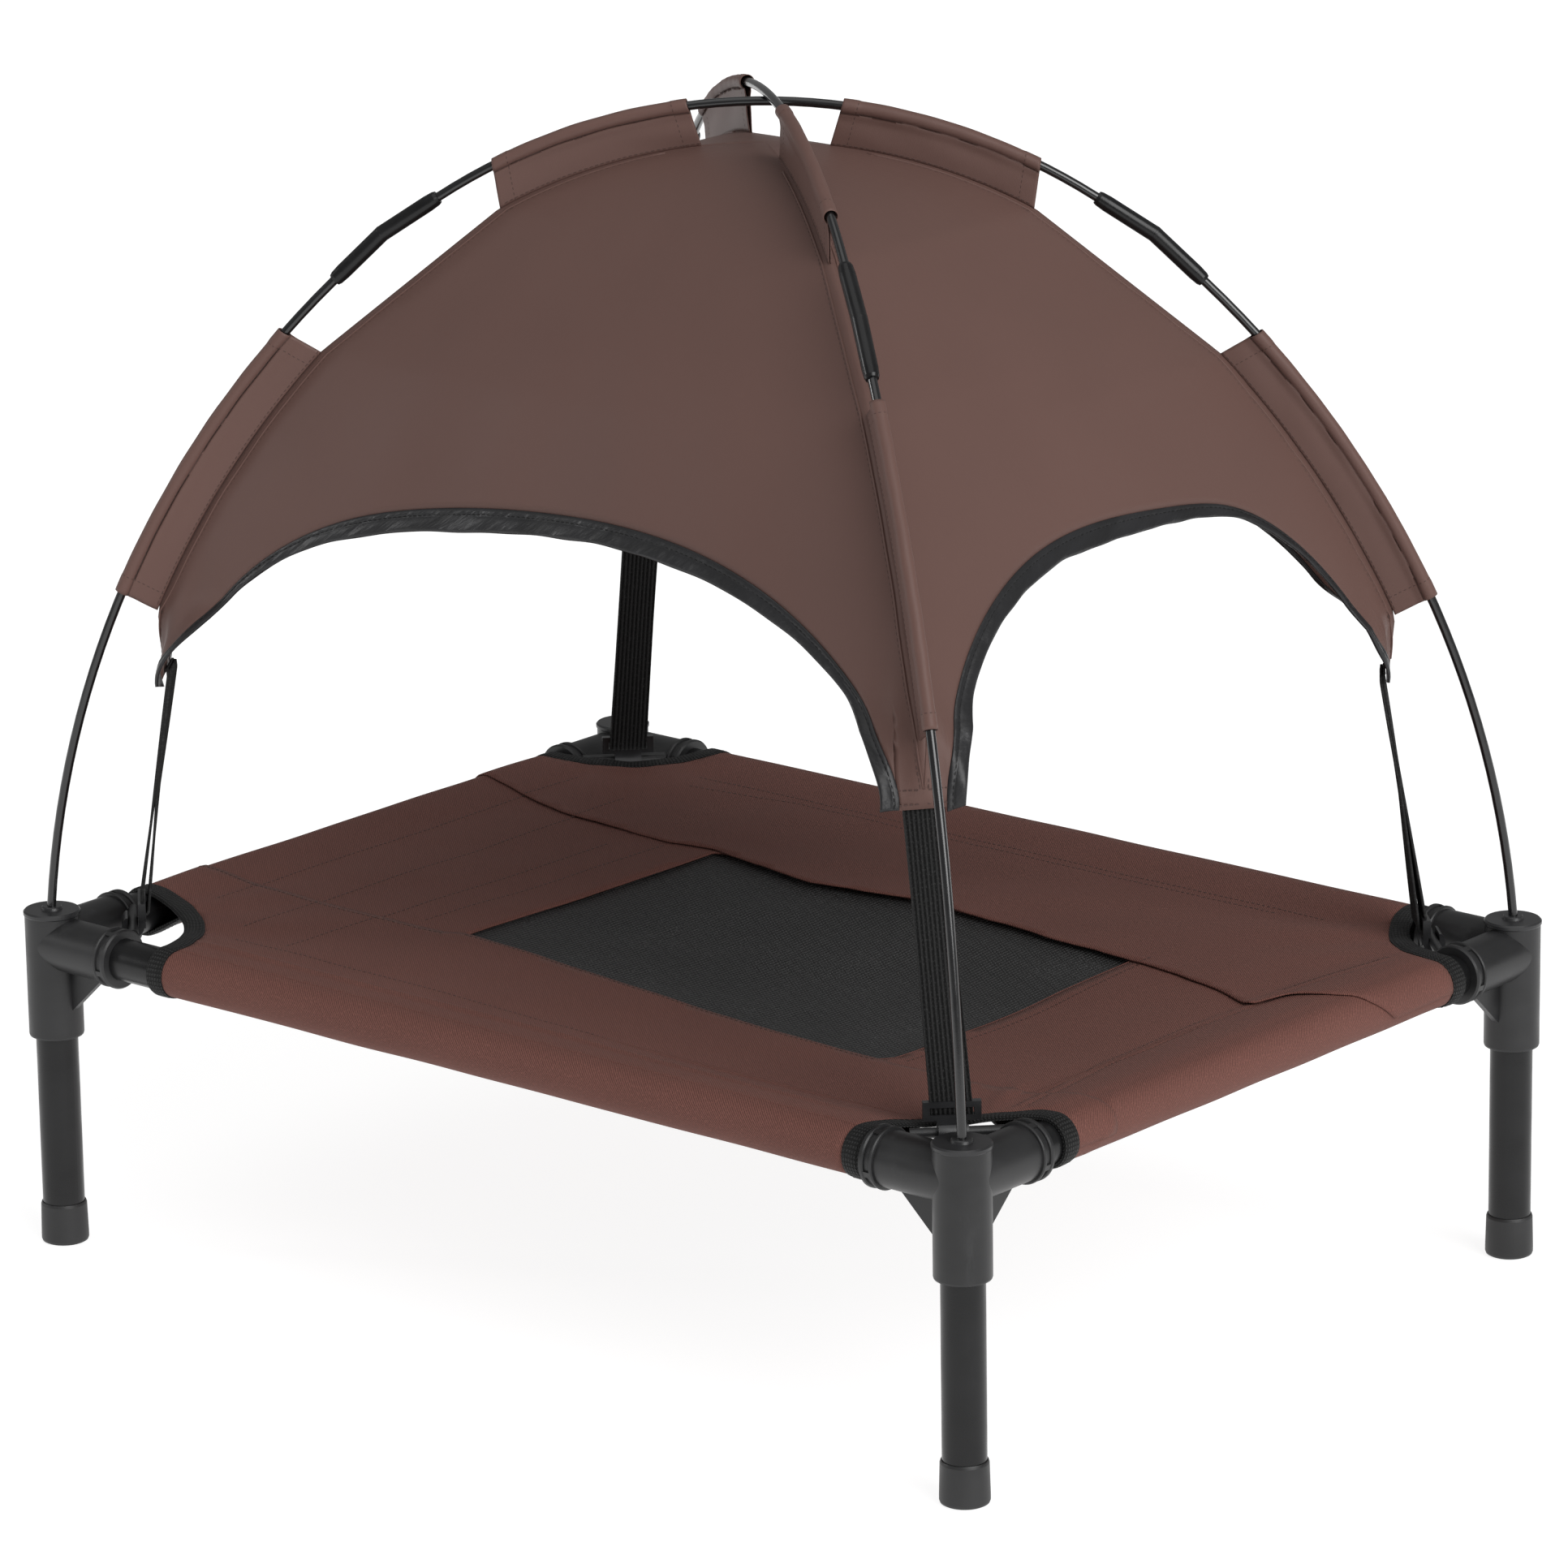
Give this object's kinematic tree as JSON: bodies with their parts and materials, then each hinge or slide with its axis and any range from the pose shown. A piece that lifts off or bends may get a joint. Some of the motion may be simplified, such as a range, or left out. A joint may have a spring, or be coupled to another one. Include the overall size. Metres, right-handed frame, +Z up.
{
  "type": "raised pet bed with canopy",
  "caption": "Raised rectangular pet bed: fabric sling on a tube frame with corner connectors and legs, under a clip-on dome canopy hung from crossing poles.",
  "frame": {"origin": "on the floor, centred under the bed", "axes": "+X along the long side, -Y the front long side, +Z up"},
  "size_m": [0.613, 0.459, 0.589],
  "materials": {
    "moulded_black": "injection-moulded black plastic, soft sheen, faint mould lines",
    "foot_plastic": "black moulded foot cap, satin",
    "coated_steel": "satin black powder-coated steel tube",
    "sling_fabric": "reddish brown coated Oxford cloth with a fine diagonal weave",
    "mesh_fabric": "black coarse polyester mesh",
    "binding_webbing": "black woven binding webbing",
    "canopy_fabric": "thin satin grey-brown polyester",
    "arch_tape": "black satin binding tape with stitching",
    "elastic_webbing": "black ribbed elastic",
    "hook_plastic": "black moulded plastic, semi-gloss",
    "pole_rod": "black glass-fibre rod, glossy",
    "ferrule_metal": "black coated metal ferrule, semi-gloss"
  },
  "bodies": {
    "frame": {"front_left_connector": "moulded_black", "front_left_pole_socket": "moulded_black", "front_left_leg_tube": "coated_steel", "front_left_foot_cap": "foot_plastic", "front_left_sling_binding": "binding_webbing", "front_right_connector": "moulded_black", "front_right_pole_socket": "moulded_black", "front_right_leg_tube": "coated_steel", "front_right_foot_cap": "foot_plastic", "front_right_sling_binding": "binding_webbing", "rear_right_connector": "moulded_black", "rear_right_pole_socket": "moulded_black", "rear_right_leg_tube": "coated_steel", "rear_right_foot_cap": "foot_plastic", "rear_right_sling_binding": "binding_webbing", "rear_left_connector": "moulded_black", "rear_left_pole_socket": "moulded_black", "rear_left_leg_tube": "coated_steel", "rear_left_foot_cap": "foot_plastic", "rear_left_sling_binding": "binding_webbing", "front_side_tube": "coated_steel", "right_side_tube": "coated_steel", "rear_side_tube": "coated_steel", "left_side_tube": "coated_steel", "sling": "sling_fabric", "mesh_panel": "mesh_fabric"},
    "dome": {"front_left_upper_sleeve": "canopy_fabric", "front_left_lower_sleeve": "canopy_fabric", "front_left_elastic_strap": "elastic_webbing", "front_left_lower_rod": "pole_rod", "front_left_ferrule": "ferrule_metal", "front_right_upper_sleeve": "canopy_fabric", "front_right_lower_sleeve": "canopy_fabric", "front_right_elastic_strap": "elastic_webbing", "front_right_lower_rod": "pole_rod", "front_right_ferrule": "ferrule_metal", "rear_right_upper_sleeve": "canopy_fabric", "rear_right_lower_sleeve": "canopy_fabric", "rear_right_elastic_strap": "elastic_webbing", "rear_right_lower_rod": "pole_rod", "rear_right_ferrule": "ferrule_metal", "rear_left_upper_sleeve": "canopy_fabric", "rear_left_lower_sleeve": "canopy_fabric", "rear_left_elastic_strap": "elastic_webbing", "rear_left_lower_rod": "pole_rod", "rear_left_ferrule": "ferrule_metal", "front_canopy_panel": "canopy_fabric", "front_arch_binding": "arch_tape", "right_canopy_panel": "canopy_fabric", "right_arch_binding": "arch_tape", "rear_canopy_panel": "canopy_fabric", "rear_arch_binding": "arch_tape", "left_canopy_panel": "canopy_fabric", "left_arch_binding": "arch_tape", "low_crown_rod": "pole_rod", "high_crown_rod": "pole_rod"},
    "front_left_hook": {"front_left_strap_hook": "hook_plastic"},
    "front_right_hook": {"front_right_strap_hook": "hook_plastic"},
    "rear_right_hook": {"rear_right_strap_hook": "hook_plastic"},
    "rear_left_hook": {"rear_left_strap_hook": "hook_plastic"}
  },
  "joints": [
    {"name": "dome_lift", "type": "slide", "parent": "frame", "child": "dome", "axis": [0, 0, 1], "range_m": [0, 0.06], "stiffness_N_per_m": 150, "springref_m": -0.03, "deforming": ["front_left_elastic_strap", "front_right_elastic_strap", "rear_right_elastic_strap", "rear_left_elastic_strap"]},
    {"name": "front_left_hook_swing", "type": "hinge", "parent": "frame", "child": "front_left_hook", "pos_m": [-0.26322, -0.18622, 0.165], "axis": [0.7071, -0.7071, 0], "range_deg": [-8, 8], "stiffness_Nm_per_rad": 0.02},
    {"name": "front_right_hook_swing", "type": "hinge", "parent": "frame", "child": "front_right_hook", "pos_m": [0.26322, -0.18622, 0.165], "axis": [0.7071, 0.7071, 0], "range_deg": [-8, 8], "stiffness_Nm_per_rad": 0.02},
    {"name": "rear_right_hook_swing", "type": "hinge", "parent": "frame", "child": "rear_right_hook", "pos_m": [0.26322, 0.18622, 0.165], "axis": [-0.7071, 0.7071, 0], "range_deg": [-8, 8], "stiffness_Nm_per_rad": 0.02},
    {"name": "rear_left_hook_swing", "type": "hinge", "parent": "frame", "child": "rear_left_hook", "pos_m": [-0.26322, 0.18622, 0.165], "axis": [-0.7071, -0.7071, 0], "range_deg": [-8, 8], "stiffness_Nm_per_rad": 0.02}
  ]
}
